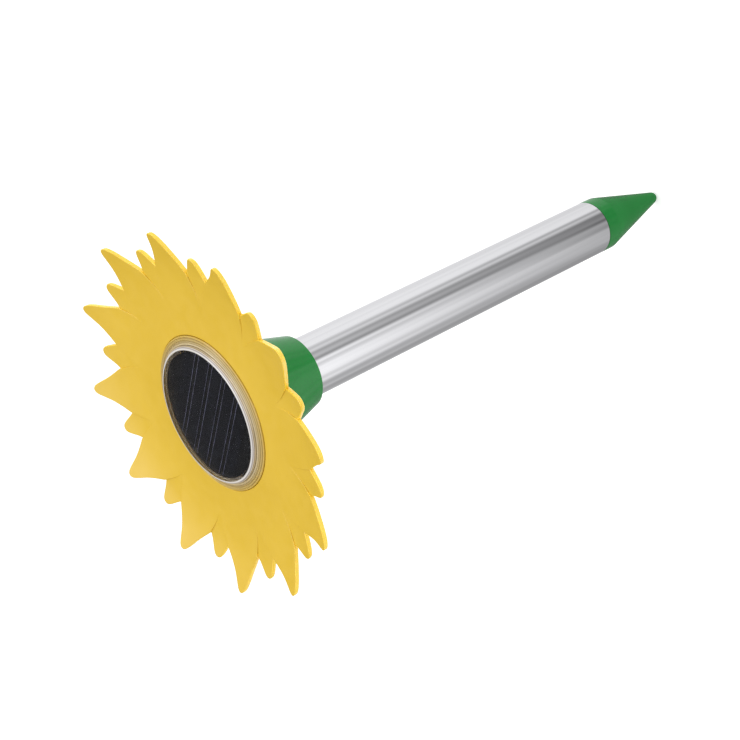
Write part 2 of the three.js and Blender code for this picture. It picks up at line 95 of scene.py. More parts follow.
floor_material, _, floor_shader = shader("floor_lightbox", (0.9, 0.9, 0.9), 0.9)
floor_shader.inputs["Emission Color"].default_value = (1, 1, 1, 1)
floor_shader.inputs["Emission Strength"].default_value = 0.45
bpy.ops.object.select_all(action="DESELECT")
bpy.ops.mesh.primitive_plane_add(size=12, location=(0, 0, 0))
floor = bpy.context.object
floor.name = "floor"
floor.data.materials.append(floor_material)


def bands(tree, position, stops):
    """A smooth run of grey levels; stops are (position, level)."""
    ramp = tree.nodes.new("ShaderNodeValToRGB")
    ramp.color_ramp.interpolation = "EASE"
    for index, (place, level) in enumerate(stops):
        elements = ramp.color_ramp.elements
        element = elements[index] if index < 2 else elements.new(place)
        element.position = place
        element.color = (level, level, level * 1.02, 1)
    tree.links.new(position, ramp.inputs["Fac"])
    return ramp.outputs["Color"]


# A round screen of light and dark cards stands round the tube. Only polished surfaces see it, and it
# gives the bare metal its long bright and dark streaks, brighter towards its upper end.
SCREEN_RADIUS = 0.05
SCREEN_DEPTH = 0.284
SCREEN_MIDDLE = 0.144
SCREEN_TURN = 96
screen_material = bpy.data.materials.new("striped_cards")
screen_material.use_nodes = True
tree = screen_material.node_tree
tree.nodes.remove(tree.nodes["Principled BSDF"])
coordinates = tree.nodes.new("ShaderNodeTexCoord")
turned_to_camera = tree.nodes.new("ShaderNodeMapping")
turned_to_camera.inputs["Rotation"].default_value = (0, 0, math.radians(SCREEN_TURN))
parts = tree.nodes.new("ShaderNodeSeparateXYZ")
bearing = tree.nodes.new("ShaderNodeMath")
bearing.operation = "ARCTAN2"
share = tree.nodes.new("ShaderNodeMapRange")
share.inputs["From Min"].default_value = -math.pi
share.inputs["From Max"].default_value = math.pi
height = tree.nodes.new("ShaderNodeMapRange")
height.inputs["From Min"].default_value = 0.03
height.inputs["From Max"].default_value = 0.26
tree.links.new(coordinates.outputs["Object"], turned_to_camera.inputs["Vector"])
tree.links.new(turned_to_camera.outputs["Vector"], parts.inputs["Vector"])
tree.links.new(parts.outputs["Y"], bearing.inputs[0])
tree.links.new(parts.outputs["X"], bearing.inputs[1])
tree.links.new(bearing.outputs["Value"], share.inputs["Value"])
tree.links.new(parts.outputs["Z"], height.inputs["Value"])
low_bands = bands(tree, share.outputs["Result"], [
    (0.08, 0.6), (0.15, 0.3), (0.25, 0.36), (0.3, 0.5), (0.405, 0.47), (0.44, 0.3), (0.48, 0.38),
    (0.51, 0.15), (0.535, 0.27), (0.575, 0.2), (0.612, 0.6), (0.632, 0.42), (0.66, 0.83), (0.85, 0.76),
    (0.92, 0.95),
])
high_bands = bands(tree, share.outputs["Result"], [
    (0.08, 0.76), (0.15, 0.42), (0.21, 0.38), (0.25, 0.53), (0.285, 0.46), (0.33, 0.87), (0.35, 0.73),
    (0.387, 1.02), (0.444, 1.05), (0.481, 0.76), (0.5, 0.98), (0.53, 0.34), (0.556, 0.56), (0.585, 0.4),
    (0.612, 0.75), (0.635, 0.6), (0.67, 0.92), (0.85, 0.87), (0.93, 0.97),
])
blend = tree.nodes.new("ShaderNodeMix")
blend.data_type = "RGBA"
tree.links.new(height.outputs["Result"], blend.inputs["Factor"])
tree.links.new(low_bands, blend.inputs[6])
tree.links.new(high_bands, blend.inputs[7])
glow = tree.nodes.new("ShaderNodeEmission")
tree.links.new(blend.outputs[2], glow.inputs["Color"])
tree.links.new(glow.outputs["Emission"], tree.nodes["Material Output"].inputs["Surface"])

bpy.ops.object.select_all(action="DESELECT")
bpy.ops.mesh.primitive_cylinder_add(vertices=96, radius=SCREEN_RADIUS, depth=SCREEN_DEPTH,
                                    end_fill_type="NOTHING", location=(0, 0, SCREEN_MIDDLE))
bpy.ops.object.transform_apply(location=True)
screen = bpy.context.object
screen.name = "striped_screen"
screen.data.materials.append(screen_material)
for rays in ("camera", "diffuse", "transmission", "shadow", "volume_scatter"):
    setattr(screen, "visible_" + rays, False)


def dark_card(name, size, place, turn, level):
    """A grey card that only reflections see, never the camera and never the light."""
    material = bpy.data.materials.new(name)
    material.use_nodes = True
    tree = material.node_tree
    tree.nodes.remove(tree.nodes["Principled BSDF"])
    glow = tree.nodes.new("ShaderNodeEmission")
    glow.inputs["Color"].default_value = (level, level, level, 1)
    tree.links.new(glow.outputs["Emission"], tree.nodes["Material Output"].inputs["Surface"])
    bpy.ops.object.select_all(action="DESELECT")
    bpy.ops.mesh.primitive_plane_add(size=1, location=place, rotation=turn)
    card = bpy.context.object
    card.name = name
    card.scale = (*size, 1)
    bpy.ops.object.transform_apply(location=True, rotation=True, scale=True)
    card.data.materials.append(material)
    for rays in ("camera", "diffuse", "shadow", "volume_scatter"):
        setattr(card, "visible_" + rays, False)


# One dark card hangs beyond the flower, where the lens would mirror the room, and one lies under the
# spike.
dark_card("card_beyond", (3.2, 2.4), (0.1, 1.3, 1.35), (math.radians(90), 0, 0), 0.05)
dark_card("card_under", (0.12, 0.12), (0, 0, 0.0006), (0, 0, 0), 0.25)

# ---- Spike ----
# A hollow green moulding: a long point with a rounded tip, a short shoulder as wide as the tube, and a
# plug with a groove for the seal ring. It pushes into the tube's lower end.


def start(name, make, **options):
    """Adds a primitive and leaves it open in edit mode with all of it selected."""
    bpy.ops.object.select_all(action="DESELECT")
    make(location=(0, 0, 0), **options)
    piece = bpy.context.object
    piece.name = piece.data.name = name
    bpy.ops.object.mode_set(mode="EDIT")
    bpy.ops.mesh.select_all(action="SELECT")
    return piece


def close_edit():
    """Merges doubles, turns the faces outwards and leaves edit mode."""
    bpy.ops.mesh.select_all(action="SELECT")
    bpy.ops.mesh.remove_doubles(threshold=0.000002)
    bpy.ops.mesh.normals_make_consistent(inside=False)
    bpy.ops.object.mode_set(mode="OBJECT")


def modify(piece, kind, **settings):
    """Adds a modifier and applies it."""
    modifier = piece.modifiers.new(kind.lower(), kind)
    for key, value in settings.items():
        setattr(modifier, key, value)
    bpy.ops.object.select_all(action="DESELECT")
    piece.select_set(True)
    bpy.context.view_layer.objects.active = piece
    bpy.ops.object.modifier_apply(modifier=modifier.name)


def soften(piece, width, segments=3, angle=30, smooth=35):
    """Rounds the edges of a piece by width millimetres and smooths its shading."""
    modify(piece, "BEVEL", width=width * MM, segments=segments, limit_method="ANGLE",
           angle_limit=math.radians(angle), use_clamp_overlap=True, harden_normals=False)
    bpy.ops.object.shade_smooth_by_angle(angle=math.radians(smooth))
    modify(piece, "WEIGHTED_NORMAL", mode="FACE_AREA", weight=50, keep_sharp=True)


def turned(name, profile, steps=128, closed=False, centre=(0, 0, 0), axis=(0, 0, 1)):
    """Draws a profile of (radius, height) in millimetres point by point and spins it about an axis."""
    piece = start(name, bpy.ops.mesh.primitive_plane_add, size=0.01)
    bpy.ops.mesh.merge(type="CENTER")
    centre = Vector(centre) * MM
    points = [centre + (Vector((r, 0, 0)) + Vector(axis) * h) * MM for r, h in profile]
    bpy.ops.transform.translate(value=points[0])
    for before, after in zip(points, points[1:] + (points[:1] if closed else [])):
        bpy.ops.mesh.extrude_region_move(TRANSFORM_OT_translate={"value": after - before})
    bpy.ops.mesh.select_all(action="SELECT")
    bpy.ops.mesh.spin(steps=steps, angle=math.tau, center=centre, axis=axis)
    close_edit()
    return piece


def dress(piece, material, body, slot, *replaced):
    """Gives a piece its material and its body, and hides the imported solids that it stands for. slot is
    not used.
    """
    piece.data.materials.clear()
    piece.data.materials.append(material)
    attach(piece, body)
    if replaced:
        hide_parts(*replaced)


def noise(tree, scale, stretch=(1, 1, 1), detail=3.0):
    """A noise pattern on Object coordinates, scale in cells per metre."""
    coordinates = tree.nodes.new("ShaderNodeTexCoord")
    mapping = tree.nodes.new("ShaderNodeMapping")
    mapping.inputs["Scale"].default_value = stretch
    texture = tree.nodes.new("ShaderNodeTexNoise")
    texture.inputs["Scale"].default_value = scale
    texture.inputs["Detail"].default_value = detail
    tree.links.new(coordinates.outputs["Object"], mapping.inputs["Vector"])
    tree.links.new(mapping.outputs["Vector"], texture.inputs["Vector"])
    return texture.outputs["Fac"]


def spread(tree, value, low, high):
    """Maps a 0.3 to 0.7 pattern onto low to high."""
    mapped = tree.nodes.new("ShaderNodeMapRange")
    mapped.inputs["From Min"].default_value = 0.3
    mapped.inputs["From Max"].default_value = 0.7
    mapped.inputs["To Min"].default_value = low
    mapped.inputs["To Max"].default_value = high
    tree.links.new(value, mapped.inputs["Value"])
    return mapped.outputs["Result"]


def tint(tree, value, dark, light):
    """A colour between dark and light as a 0.3 to 0.7 pattern runs."""
    ramp = tree.nodes.new("ShaderNodeValToRGB")
    ramp.color_ramp.elements[0].position = 0.3
    ramp.color_ramp.elements[0].color = (*dark, 1)
    ramp.color_ramp.elements[1].position = 0.7
    ramp.color_ramp.elements[1].color = (*light, 1)
    tree.links.new(value, ramp.inputs["Fac"])
    return ramp.outputs["Color"]


def bump(tree, principled, height, distance):
    """Raises the surface by up to distance metres where the pattern is high."""
    node = tree.nodes.new("ShaderNodeBump")
    node.inputs["Strength"].default_value = 1.0
    node.inputs["Distance"].default_value = distance
    tree.links.new(height, node.inputs["Height"])
    tree.links.new(node.outputs["Normal"], principled.inputs["Normal"])


def moulded(name, dark, light, roughness, grain=0.00002, coat=0.0):
    """Injection-moulded plastic: faint flow mottling, uneven gloss and a very fine skin texture."""
    material, tree, principled = shader(name, light, roughness, coat=coat)
    tree.links.new(tint(tree, noise(tree, 38), dark, light), principled.inputs["Base Color"])
    gloss = spread(tree, noise(tree, 160), roughness * 0.85, roughness * 1.2)
    tree.links.new(gloss, principled.inputs["Roughness"])
    bump(tree, principled, noise(tree, 900, detail=2.0), grain)
    return material


green_plastic = moulded("green_plastic", (0.010, 0.175, 0.030), (0.014, 0.20, 0.038), 0.14)
green_plastic.node_tree.nodes["Principled BSDF"].inputs["Specular IOR Level"].default_value = 0.35
black_rubber = moulded("black_rubber", (0.011, 0.011, 0.012), (0.02, 0.02, 0.021), 0.72, grain=0.00005)

spike_profile = [
    (0, 0), (0.9, 0.11), (1.8, 0.48), (2.6, 1.11), (3.15, 1.85), (3.5, 2.8),
    (15.6, 50.4), (15.85, 51.2), (16, 52.2), (16, 60.7), (14.6, 60.7), (14.6, 73.8),
    (12.75, 73.8), (12.75, 76.2), (14.6, 76.2), (14.6, 84), (13.6, 86), (11.4, 86),
    (11.4, 53.8), (2.4, 16), (0, 15),
]
spike = turned("spike_moulding", spike_profile)
soften(spike, 0.25)
dress(spike, green_plastic, "stake", "green_plastic", "spike")


def seal_ring(name, radius, section, height):
    """A rubber ring, drawn as a small circle and spun round the axis."""
    profile = [
        (radius + section * math.cos(a * math.tau / 14), height + section * math.sin(a * math.tau / 14))
        for a in range(14)
    ]
    ring = turned(name, profile, steps=96, closed=True)
    bpy.ops.object.shade_smooth()
    return ring


spike_seal = seal_ring("spike_seal", 13.95, 0.9, 75)
dress(spike_seal, black_rubber, "stake", "black_rubber", "spike_oring")

# ---- Tube ----
# Thin drawn aluminium, cut square and deburred at both ends. Drawing leaves fine bright and dull lines
# along its whole length.

tube_material, tree, tube_shader = shader("drawn_aluminium", (0.85, 0.86, 0.88), 0.1, metallic=1.0)
broad_lines = noise(tree, 1, stretch=(300, 300, 1.5), detail=4.0)
fine_lines = noise(tree, 1, stretch=(1400, 1400, 6), detail=3.0)
streaks = tint(tree, broad_lines, (0.8, 0.8, 0.81), (0.91, 0.91, 0.915))
tree.links.new(streaks, tube_shader.inputs["Base Color"])
tree.links.new(spread(tree, fine_lines, 0.04, 0.11), tube_shader.inputs["Roughness"])
bump(tree, tube_shader, fine_lines, 0.000002)

tube = turned("tube_drawn", [(15, 61), (16, 61), (16, 329), (15, 329)], steps=160, closed=True)
soften(tube, 0.15, segments=2)
dress(tube, tube_material, "barrel", "tube_aluminium", "tube")

# ---- Petal disc ----
# One dished yellow moulding. Twelve long petals lie over twelve short ones, and a round well in the
# middle takes the solar panel. Four screws in the well's floor hold it on the cup.

yellow_plastic = moulded("yellow_plastic", (0.67, 0.44, 0.034), (0.70, 0.465, 0.04), 0.38)
PETALS = 12
FACE = 343.5
RIM_START = 41.7
SHEET = 2.4
FLAT_TO = 42
DISH_RISE = 9.5
DISH_REACH = 55.2
ROWS = 14
ROW_GROWTH = 1.1


def dish_height(r):
    """Height of the petals' front at a distance from the axis, in millimetres."""
    return FACE + DISH_RISE * (max(0.0, r - FLAT_TO) / DISH_REACH) ** 2.9


def petal_layer(name, outline, root, turn_angle, lower):
    """A star-shaped sheet of twelve petals. outline gives a petal's half width at distances along it,
    from its tip to its notch. root goes on inwards as (distance from the axis, bearing in degrees).
    lower sinks the sheet under its neighbour, fading out towards the middle."""
    half = [(math.degrees(math.atan2(w, x)), math.hypot(x, w)) for x, w in outline]
    half += [(angle, r) for r, angle in root]
    edge = [(-angle, r) for angle, r in reversed(half)] + half[1:-1]
    piece = start(name, bpy.ops.mesh.primitive_circle_add, vertices=PETALS * len(edge),
                  radius=RIM_START * MM)
    for _ in range(ROWS):
        bpy.ops.mesh.extrude_region_move()
        bpy.ops.transform.resize(value=(ROW_GROWTH, ROW_GROWTH, 1))
    bpy.ops.object.mode_set(mode="OBJECT")
    step = math.tau / (PETALS * len(edge))
    for vertex in piece.data.vertices:
        r = vertex.co.xy.length
        row = round(math.log(r / (RIM_START * MM)) / math.log(ROW_GROWTH))
        column = round(math.atan2(vertex.co.y, vertex.co.x) / step)
        petal, place = divmod(column, len(edge))
        angle, tip_r = edge[place]
        angle = math.radians(angle + 360 / PETALS * petal + turn_angle)
        r = RIM_START + (tip_r - RIM_START) * row / ROWS
        sunk = lower * min(1.0, max(0.06, (r - 60) / 17) ** 1.3)
        vertex.co = Vector((r * math.cos(angle), r * math.sin(angle), dish_height(r) - sunk)) * MM
    bpy.ops.object.mode_set(mode="EDIT")
    bpy.ops.mesh.select_all(action="SELECT")
    bpy.ops.mesh.extrude_region_move(TRANSFORM_OT_translate={"value": (0, 0, -SHEET * MM)})
    close_edit()
    soften(piece, 0.8, segments=4, angle=50, smooth=60)
    return piece


long_outline = [
    (97.2, 0), (97.1, 0.8), (96.7, 1.6), (95.9, 2.45), (94.6, 3.3), (92.8, 4.2), (90.7, 5.15), (88.3, 6.2),
    (86, 7.35), (83.5, 8.7), (81, 10.1), (78.6, 11.5), (76.5, 12.66),
]
long_root = [(75.6, 10), (73, 10.9), (70.4, 11.8), (67.8, 12.7), (65.2, 13.5), (62.8, 14.2), (60.8, 14.75)]
short_outline = [
    (87.8, 0), (87.7, 0.9), (87.3, 1.8), (86.5, 2.65), (85.2, 3.5), (83.6, 4.3), (81.9, 5.1),
    (80.1, 5.95), (78.6, 6.8), (77.2, 7.56),
]
short_root = [(75, 6.4), (71, 8), (67, 10), (63, 12.8), (60.5, 14.8)]
petals = petal_layer("petal_moulding", long_outline, long_root, 0, 0.0)
short_petals = petal_layer("short_petals", short_outline, short_root, 15, 0.75)
well = turned("well", [
    (5, 336.4), (38.9, 336.4), (38.9, 341.1), (43, 341.1), (43, FACE - 0.7), (42, FACE - 0.1),
    (41.7, FACE - 0.1), (41.7, 342.4), (36.7, 342.4), (36.7, 338.6), (5, 338.6),
], steps=128, closed=True)
soften(well, 0.3, segments=2)


def joined(first, *others):
    """Joins closed shells that the real piece has in one moulding."""
    bpy.ops.object.select_all(action="DESELECT")
    for other in (first, *others):
        other.select_set(True)
    bpy.context.view_layer.objects.active = first
    bpy.ops.object.join()
    return first


petals = joined(petals, short_petals, well)
dress(petals, yellow_plastic, "head", "yellow_plastic", "petal_disc")

# The petals' thin rounded edges get a lighter yellow. It is a painted highlight where the edges catch the
# light, with a little real light coming through the thin plastic.
yellow_edge_painted_highlight = moulded("yellow_edge_painted_highlight", (0.88, 0.60, 0.05), (0.95, 0.66, 0.07), 0.3)
edge_shader = yellow_edge_painted_highlight.node_tree.nodes["Principled BSDF"]
edge_shader.inputs["Subsurface Weight"].default_value = 0.25
edge_shader.inputs["Subsurface Radius"].default_value = (0.003, 0.002, 0.0005)
petals.data.materials.append(yellow_edge_painted_highlight)
for face in petals.data.polygons:
    if face.center.xy.length > 76 * MM and abs(face.normal.z) < 0.86:
        face.material_index = 1

# ---- Lens ----
# A clear moulded cover with a stepped rim of five ridges. It lies in the petal disc's rebate on a thin
# seal of clear silicone, over the solar panel. Brown, white and tan rings are painted on the rim's ridges:
# a painted highlight, thin dark painted shade lines and painted refraction of the yellow petals beneath.

clear_plastic, tree, lens_shader = shader("clear_plastic", (0.97, 0.975, 0.98), 0.04)
lens_shader.inputs["Transmission Weight"].default_value = 1.0
lens_shader.inputs["IOR"].default_value = 1.49
tree.links.new(spread(tree, noise(tree, 60), 0.0, 0.02), lens_shader.inputs["Roughness"])
output = tree.nodes["Material Output"]
light_path = tree.nodes.new("ShaderNodeLightPath")
see_through = tree.nodes.new("ShaderNodeBsdfTransparent")
see_through.inputs["Color"].default_value = (0.86, 0.86, 0.86, 1)
mix = tree.nodes.new("ShaderNodeMixShader")
tree.links.new(light_path.outputs["Is Shadow Ray"], mix.inputs["Fac"])
tree.links.new(lens_shader.outputs["BSDF"], mix.inputs[1])
tree.links.new(see_through.outputs["BSDF"], mix.inputs[2])
tree.links.new(mix.outputs["Shader"], output.inputs["Surface"])

RIM_FROM = 35.2
rim_ridges = []
for ridge in range(5):
    outer = 41.3 - 0.95 * ridge
    crest = 344.05 + 0.2 * ridge
    rim_ridges += [(outer, crest - 0.3), (outer - 0.2, crest)]
    rim_ridges += [(outer - 0.55, crest + 0.05), (outer - 0.8, crest - 0.28)]
lens = turned("lens_cover", [
    (0, 345.6), (10, 345.57), (20, 345.4), (33.4, 344.8), (35.2, 343.9), (35.6, 342.7), (41.4, 342.7),
    (41.4, 343.6), *rim_ridges, (36.9, 345.2), (36.6, 346.1), (36.1, 346.55), (35, 346.8),
    (34, 346.85), (20, 347.2), (10, 347.35), (0, 347.4),
], steps=160)
soften(lens, 0.12, segments=2, angle=20, smooth=50)

rim_plastic_painted_rings, tree, rim_shader = shader("ringed_rim", (0.8, 0.72, 0.55), 0.12, coat=0.2)
rim_shader.inputs["Transmission Weight"].default_value = 0.3
rim_shader.inputs["IOR"].default_value = 1.49
coordinates = tree.nodes.new("ShaderNodeTexCoord")
flat = tree.nodes.new("ShaderNodeVectorMath")
flat.operation = "MULTIPLY"
flat.inputs[1].default_value = (1, 1, 0)
reach = tree.nodes.new("ShaderNodeVectorMath")
reach.operation = "LENGTH"
rim_parts = tree.nodes.new("ShaderNodeSeparateXYZ")
less_height = tree.nodes.new("ShaderNodeMath")
less_height.operation = "SUBTRACT"
across_rim = tree.nodes.new("ShaderNodeMapRange")
across_rim.inputs["From Min"].default_value = (34.2 - 346.85) * MM
across_rim.inputs["From Max"].default_value = (41.4 - 343.6) * MM
rings = tree.nodes.new("ShaderNodeValToRGB")
# Places run from 0 at the rim's inner edge, which stands highest, to 1 at its outer edge.
# These stops paint light onto the rim. The white band is a painted highlight, the thin dark lines are
# painted shade, and the brown and tan rings stand in for the yellow petals seen bent through the clear
# ridges.
rim_colours = [
    (0.0, (0.55, 0.5, 0.44)), (0.08, (0.62, 0.56, 0.5)), (0.12, (0.95, 0.93, 0.9)),
    (0.18, (0.9, 0.87, 0.84)), (0.21, (0.42, 0.36, 0.35)), (0.25, (0.5, 0.44, 0.41)),
    (0.28, (0.88, 0.83, 0.76)), (0.31, (0.85, 0.78, 0.68)), (0.33, (0.14, 0.09, 0.06)),
    (0.36, (0.72, 0.6, 0.42)),
    (0.42, (0.8, 0.68, 0.46)), (0.45, (0.25, 0.16, 0.08)), (0.49, (0.8, 0.68, 0.42)),
    (0.56, (0.82, 0.68, 0.4)), (0.585, (0.3, 0.19, 0.07)), (0.63, (0.82, 0.67, 0.34)),
    (0.71, (0.36, 0.23, 0.06)), (0.76, (0.84, 0.66, 0.26)), (0.86, (0.42, 0.26, 0.06)),
    (0.91, (0.86, 0.64, 0.2)), (1.0, (0.72, 0.47, 0.07)),
]
for index, (place, colour) in enumerate(rim_colours):
    elements = rings.color_ramp.elements
    element = elements[index] if index < 2 else elements.new(place)
    element.position = place
    element.color = (*colour, 1)
tree.links.new(coordinates.outputs["Object"], flat.inputs[0])
tree.links.new(flat.outputs["Vector"], reach.inputs[0])
tree.links.new(coordinates.outputs["Object"], rim_parts.inputs["Vector"])
tree.links.new(reach.outputs["Value"], less_height.inputs[0])
tree.links.new(rim_parts.outputs["Z"], less_height.inputs[1])
tree.links.new(less_height.outputs["Value"], across_rim.inputs["Value"])
tree.links.new(across_rim.outputs["Result"], rings.inputs["Fac"])
tree.links.new(rings.outputs["Color"], rim_shader.inputs["Base Color"])
tree.links.new(spread(tree, noise(tree, 300), 0.08, 0.2), rim_shader.inputs["Roughness"])
dress(lens, clear_plastic, "head", "clear_plastic", "lens")
lens.data.materials.append(rim_plastic_painted_rings)
for face in lens.data.polygons:
    if face.center.xy.length > RIM_FROM * MM:
        face.material_index = 1

silicone, tree, silicone_shader = shader("clear_silicone", (0.86, 0.82, 0.72), 0.35)
silicone_shader.inputs["Subsurface Weight"].default_value = 0.3
silicone_shader.inputs["Subsurface Radius"].default_value = (0.002, 0.0015, 0.001)
tree.links.new(tint(tree, noise(tree, 200), (0.80, 0.76, 0.66), (0.90, 0.87, 0.78)),
               silicone_shader.inputs["Base Color"])
bump(tree, silicone_shader, noise(tree, 1500), 0.00002)
lens_seal = turned("lens_gasket", [(37.2, 342.45), (41.3, 342.45), (41.3, 342.65), (37.2, 342.65)],
                   steps=96, closed=True)
dress(lens_seal, silicone, "head", "clear_silicone", "lens_seal")

# ---- Solar panel ----
# A black epoxy-coated board with five near-black cell strips. A fine pale conductor line runs along
# the strips' sides, but for the two outermost. A foam ring holds the board off the floor of the well.

panel_black, tree, panel_shader = shader("panel_black", (0.008, 0.008, 0.009), 0.3)
tree.links.new(tint(tree, noise(tree, 120), (0.004, 0.004, 0.005), (0.008, 0.008, 0.009)),
               panel_shader.inputs["Base Color"])
tree.links.new(spread(tree, noise(tree, 400), 0.14, 0.22), panel_shader.inputs["Roughness"])
foam = moulded("foam", (0.015, 0.015, 0.016), (0.035, 0.035, 0.037), 0.9, grain=0.0002)

panel = turned("panel_disc", [(0, 342), (35.2, 342), (35.2, 343.2), (0, 343.2)], steps=128)
soften(panel, 0.12, segments=2)
dress(panel, panel_black, "head", "panel_black", "panel_board")
pad = turned("panel_foam", [(30, 338.7), (35, 338.7), (35, 341.9), (30, 341.9)], steps=96, closed=True)
soften(pad, 0.4, segments=2)
dress(pad, foam, "head", "foam", "panel_pad")

cell_black, tree, cell_shader = shader("cell_silicon", (0.008, 0.009, 0.014), 0.3)
tree.links.new(tint(tree, noise(tree, 1, stretch=(500, 500, 1), detail=5.0), (0.004, 0.004, 0.006),
                    (0.007, 0.008, 0.012)), cell_shader.inputs["Base Color"])
tree.links.new(spread(tree, noise(tree, 700), 0.12, 0.2), cell_shader.inputs["Roughness"])
cell_line, tree, line_shader = shader("cell_line", (0.16, 0.17, 0.25), 0.45)
tree.links.new(tint(tree, noise(tree, 260), (0.025, 0.028, 0.055), (0.12, 0.12, 0.2)),
               line_shader.inputs["Base Color"])


def cut(low, normal, clear=False):
    """Cuts the whole open mesh by a plane. clear takes away the side that the normal points to."""
    bpy.ops.mesh.select_all(action="SELECT")
    bpy.ops.mesh.bisect(plane_co=low, plane_no=normal, use_fill=False, clear_outer=clear, clear_inner=False)


STRIPS = 5
STRIP_PITCH = 10.4
STRIP_HALF_WIDTH = 3.95
LINE_WIDTH = 0.25
strip_turn = math.radians(-63.6)
across = Vector((-math.sin(strip_turn), math.cos(strip_turn), 0))
for number in range(1, STRIPS + 1):
    middle = (number - (STRIPS + 1) / 2) * STRIP_PITCH
    strip = start(f"cell_strip_{number}", bpy.ops.mesh.primitive_circle_add, vertices=96, radius=33.5 * MM,
                  fill_type="NGON")
    bpy.ops.transform.translate(value=(0, 0, 343.25 * MM))
    for side in (1, -1):
        edge = across * (middle + side * STRIP_HALF_WIDTH) * MM
        cut(edge, across * side, clear=True)
        cut(across * (middle + side * (STRIP_HALF_WIDTH - LINE_WIDTH)) * MM, across)
    bpy.ops.mesh.select_all(action="SELECT")
    bpy.ops.mesh.extrude_region_move(TRANSFORM_OT_translate={"value": (0, 0, 0.3 * MM)})
    close_edit()
    dress(strip, cell_black, "head", "solar_cell", f"solar_cell_{number}")
    strip.data.materials.append(cell_line)
    for face in strip.data.polygons:
        from_middle = face.center.dot(across) / MM
        at_side = abs(from_middle - middle) > STRIP_HALF_WIDTH - LINE_WIDTH
        outermost = abs(from_middle) > 24
        if face.normal.z > 0.9 and at_side and not outermost:
            face.material_index = 1

# ---- Rear cup ----
# A green moulding like a flower pot. A sleeve inside it slides over the tube, four posts take the
# flower's screws, and a round boss on its side carries the push button.

cup = turned("cup_moulding", [
    (16.3, 287.5), (19.2, 287.5), (19.7, 288), (33.06, 336.1), (30.96, 336.1), (19.93, 296), (18.3, 296),
    (18.3, 331.4), (14.5, 331.4), (14.5, 329.3), (16.3, 329.3), (16.3, 294.2), (17.5, 294.2),
    (17.5, 291.8), (16.3, 291.8),
], steps=160, closed=True)
soften(cup, 0.3)


def hollow_post(name, x, y, radius, hole, bottom, floor, top):
    """A round post with a blind screw hole in its upper end."""
    post = turned(name, [
        (0, bottom), (radius, bottom), (radius, top), (hole, top), (hole, floor), (0, floor),
    ], steps=32, centre=(x, y, 0))
    soften(post, 0.15, segments=2)
    return post


def cut_away(piece, cutter):
    """Takes the cutter's shape out of a piece and throws the cutter away."""
    modify(piece, "BOOLEAN", object=cutter, operation="DIFFERENCE", solver="EXACT")
    bpy.data.objects.remove(cutter)


BUTTON_MIDDLE = (0, 0, 324)
LUG_REACH = 20.6
button_hole = turned("hole", [(0, 23), (4.5, 23), (4.5, 34), (0, 34)], steps=48, centre=BUTTON_MIDDLE,
                     axis=(0, 1, 0))
cut_away(cup, button_hole)
reach_45 = 25.5 * math.sqrt(0.5)
corners = [(reach_45, reach_45), (-reach_45, reach_45), (-reach_45, -reach_45), (reach_45, -reach_45)]
posts = [hollow_post("post", x, y, 3.1, 1.7, 322, 326, 336.1) for x, y in corners]
lugs = [hollow_post("lug", x, 0, 2.7, 1.4, 318, 322, 331.4) for x in (-LUG_REACH, LUG_REACH)]
switch_pad = turned("switch_pad", [(4.5, 27.6), (6.6, 27.6), (6.6, 31.94), (4.5, 31.94)], steps=64,
                    closed=True, centre=BUTTON_MIDDLE, axis=(0, 1, 0))
soften(switch_pad, 0.35)
cup = joined(cup, *posts, *lugs, switch_pad)
dress(cup, green_plastic, "head", "green_plastic", "rear_cup")
cup_seal = seal_ring("cup_seal", 16.85, 0.55, 293)
dress(cup_seal, black_rubber, "head", "black_rubber", "cup_oring")

# ---- Screws ----
# Zinc-plated pan-head screws with a cross recess. Four hold the petal disc on the cup's posts, and two
# shorter ones hold the carrier under it.

bright_steel, tree, steel_shader = shader("bright_steel", (0.62, 0.62, 0.62), 0.28, metallic=1.0)
plating = tint(tree, noise(tree, 500), (0.5, 0.5, 0.5), (0.72, 0.72, 0.71))
tree.links.new(plating, steel_shader.inputs["Base Color"])
tree.links.new(spread(tree, noise(tree, 900), 0.2, 0.4), steel_shader.inputs["Roughness"])
bump(tree, steel_shader, noise(tree, 2500), 0.000005)


def block(name, low, high, edge=0.2):
    """A rectangular piece with rounded edges, from its two opposite corners in millimetres."""
    middle = [(a + b) / 2 * MM for a, b in zip(low, high)]
    size = [(b - a) * MM for a, b in zip(low, high)]
    piece = start(name, bpy.ops.mesh.primitive_cube_add, size=1)
    bpy.ops.transform.resize(value=size)
    bpy.ops.transform.translate(value=middle)
    close_edit()
    if edge:
        soften(piece, edge, segments=2)
    return piece


def screw(name, shank, head, rise, length, seat):
    """A pan-head screw on the axis, with its head's underside at the seat."""
    top = seat + rise
    piece = turned(name, [
        (0, seat - length), (0.2, seat - length), (shank, seat - length + 1.5), (shank, seat), (head, seat),
        (head, seat + rise * 0.45), (head * 0.86, seat + rise * 0.8), (head * 0.6, top), (0, top),
    ], steps=40)
    soften(piece, 0.1, segments=2)
    long, short = head * 0.55, head * 0.13
    cut_away(piece, block("slot", (-long, -short, top - 0.6), (long, short, top + 1), 0))
    cut_away(piece, block("slot", (-short, -long, top - 0.6), (short, long, top + 1), 0))
    return piece


def copied(piece, name, x, y):
    """A copy of a piece with its own mesh, moved across."""
    twin = piece.copy()
    twin.data = piece.data.copy()
    twin.name = twin.data.name = name
    scene.collection.objects.link(twin)
    twin.data.transform(Matrix.Translation((x * MM, y * MM, 0)))
    return twin


